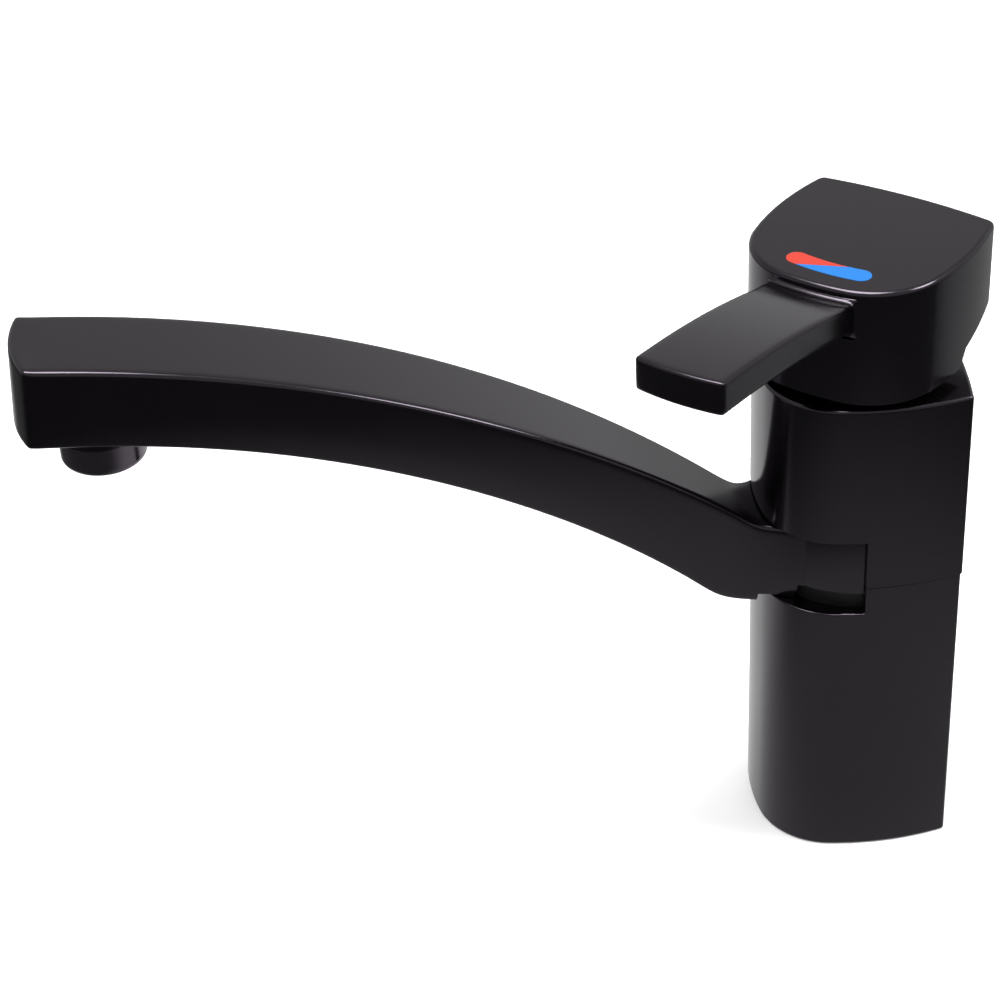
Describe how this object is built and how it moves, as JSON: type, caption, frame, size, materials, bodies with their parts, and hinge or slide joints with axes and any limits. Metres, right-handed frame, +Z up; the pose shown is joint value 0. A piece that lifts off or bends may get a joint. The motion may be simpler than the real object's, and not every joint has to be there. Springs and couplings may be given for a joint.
{
  "type": "kitchen mixer tap",
  "caption": "Single-lever kitchen mixer tap with a D-shaped column, a swivelling arched spout, a capped ceramic cartridge and a flat lever handle.",
  "frame": {"origin": "where the spout's swivel axis meets the worktop, at the foot of the column", "axes": "+Z up along the swivel axis, -Y out of the column's rounded front, +X to the right of someone who looks along +Y"},
  "size_m": [0.0992, 0.227, 0.1718],
  "materials": {
    "black_coating": "gloss",
    "red_mark": "gloss",
    "blue_mark": "gloss",
    "steel": "satin",
    "brass": "satin",
    "ceramic": "polished",
    "dark_plastic": "matte",
    "pale_plastic": "matte",
    "seal_rubber": "matte"
  },
  "bodies": {
    "column": {"lower_shell": "black_coating", "upper_body": "black_coating", "base_gasket": "seal_rubber", "body_screw_left": "steel", "body_screw_right": "steel", "trim_ring": "black_coating", "upper_slide_ring": "dark_plastic", "lower_slide_ring": "dark_plastic", "upper_seal": "seal_rubber", "lower_seal": "seal_rubber", "port_seal_hot": "seal_rubber", "port_seal_cold": "seal_rubber", "port_seal_mixed": "seal_rubber", "cartridge_base": "dark_plastic", "fixed_disc": "ceramic", "cartridge_housing": "dark_plastic", "cartridge_nut": "brass"},
    "swivel_spout": {"spout": "black_coating", "aerator_housing": "black_coating", "aerator_insert": "pale_plastic", "aerator_washer": "seal_rubber"},
    "handle_guide": {"stem_guide": "pale_plastic", "pivot_pin": "steel"},
    "handle": {"stem": "steel", "handle_cap": "black_coating", "handle_lever": "black_coating", "indicator_red": "red_mark", "indicator_blue": "blue_mark", "grub_screw": "steel", "lever_screw": "steel"},
    "mixing_slide": {"disc_carrier": "pale_plastic", "moving_disc": "ceramic"}
  },
  "joints": [
    {"name": "spout_swivel", "type": "hinge", "parent": "column", "child": "swivel_spout", "pos_m": [0, 0, 0.0865], "axis": [0, 0, 1], "range_deg": [-51, 39]},
    {"name": "handle_turn", "type": "hinge", "parent": "column", "child": "handle_guide", "pos_m": [0, 0, 0.139], "axis": [0, 0, 1], "range_deg": [-103.8, 6.2]},
    {"name": "handle_lift", "type": "hinge", "parent": "handle_guide", "child": "handle", "pos_m": [0, 0, 0.139], "axis": [-0.6587, -0.7524, 0], "range_deg": [0, 25]},
    {"name": "mixing_slide", "type": "slide", "parent": "handle_guide", "child": "mixing_slide", "axis": [0.7524, -0.6587, 0], "range_m": [0, 0.0039]}
  ],
  "couplings": [
    {"joint": "mixing_slide", "follows": "handle_lift", "m_per_rad": 0.008717}
  ]
}
